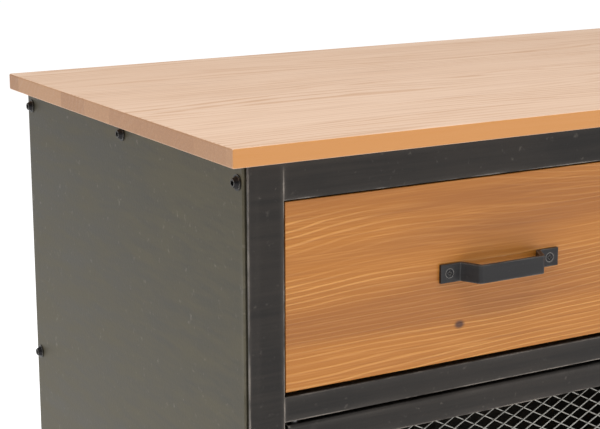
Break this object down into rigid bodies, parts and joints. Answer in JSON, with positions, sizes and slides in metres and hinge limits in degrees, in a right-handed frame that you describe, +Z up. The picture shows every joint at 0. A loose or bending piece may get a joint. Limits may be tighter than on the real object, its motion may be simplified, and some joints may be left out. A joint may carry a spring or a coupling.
{
  "type": "tv stand with doors",
  "caption": "Industrial tv stand: steel frame with sheet sides and an overhanging pine top, pine drawers with strap handles above mesh doors that swing on pivots.",
  "frame": {"origin": "on the floor, under the middle of the bounding box, which runs from the handles to the back edge of the top", "axes": "+X to the right along the stand's width, +Y to the back, +Z up"},
  "size_m": [0.92, 0.464, 0.58],
  "materials": {
    "pine_top": "satin lacquer",
    "pine_front": "brushed, oiled",
    "pine_box": "plain",
    "plywood": "plain",
    "panel_steel": "satin, patinated",
    "back_steel": "matt",
    "frame_steel": "satin, worn at the edges",
    "mesh_steel": "bare",
    "screw_black": "satin",
    "handle_black": "satin",
    "bolt_black": "semi-gloss",
    "zinc": "zinc plated",
    "runner_steel": "zinc plated",
    "foot_plastic": "matt",
    "catch_plastic": "matt"
  },
  "bodies": {
    "cabinet": {"back_bottom_rail": "frame_steel", "back_panel": "back_steel", "back_post_center": "frame_steel", "back_post_left": "frame_steel", "back_post_right": "frame_steel", "back_screws": "zinc", "back_top_rail": "frame_steel", "board_screws": "zinc", "bottom_shelf": "plywood", "center_stile": "frame_steel", "feet": "foot_plastic", "front_bottom_rail": "frame_steel", "front_mid_rails": "frame_steel", "front_post_left": "frame_steel", "front_post_right": "frame_steel", "front_top_rail": "frame_steel", "magnet_catches": "catch_plastic", "panel_bolts_left": "bolt_black", "panel_bolts_right": "bolt_black", "panel_washers": "bolt_black", "runners_left": "runner_steel", "runners_right": "runner_steel", "side_bottom_rails": "frame_steel", "side_panel_left": "panel_steel", "side_panel_right": "panel_steel", "side_top_rails": "frame_steel", "top_board": "pine_top"},
    "left_drawer": {"drawer_back_left": "pine_box", "drawer_bottom_left": "plywood", "drawer_front_left": "pine_front", "drawer_handle_left": "handle_black", "drawer_handle_screws_left": "screw_black", "drawer_sides_left": "pine_box", "drawer_slides_left": "runner_steel"},
    "right_drawer": {"drawer_back_right": "pine_box", "drawer_bottom_right": "plywood", "drawer_front_right": "pine_front", "drawer_handle_right": "handle_black", "drawer_handle_screws_right": "screw_black", "drawer_sides_right": "pine_box", "drawer_slides_right": "runner_steel"},
    "left_door": {"door_frame_left": "frame_steel", "door_handle_left": "handle_black", "door_handle_screws_left": "screw_black", "door_mesh_left": "mesh_steel", "door_pivots_left": "zinc"},
    "right_door": {"door_frame_right": "frame_steel", "door_handle_right": "handle_black", "door_handle_screws_right": "screw_black", "door_mesh_right": "mesh_steel", "door_pivots_right": "zinc"}
  },
  "joints": [
    {"name": "left_drawer_slide", "type": "slide", "parent": "cabinet", "child": "left_drawer", "axis": [0, -1, 0], "range_m": [0, 0.28]},
    {"name": "right_drawer_slide", "type": "slide", "parent": "cabinet", "child": "right_drawer", "axis": [0, -1, 0], "range_m": [0, 0.28]},
    {"name": "left_door_hinge", "type": "hinge", "parent": "cabinet", "child": "left_door", "pos_m": [-0.403, -0.2055, 0.223], "axis": [0, 0, -1], "range_deg": [0, 100]},
    {"name": "right_door_hinge", "type": "hinge", "parent": "cabinet", "child": "right_door", "pos_m": [0.403, -0.2055, 0.223], "axis": [0, 0, 1], "range_deg": [0, 100]}
  ]
}
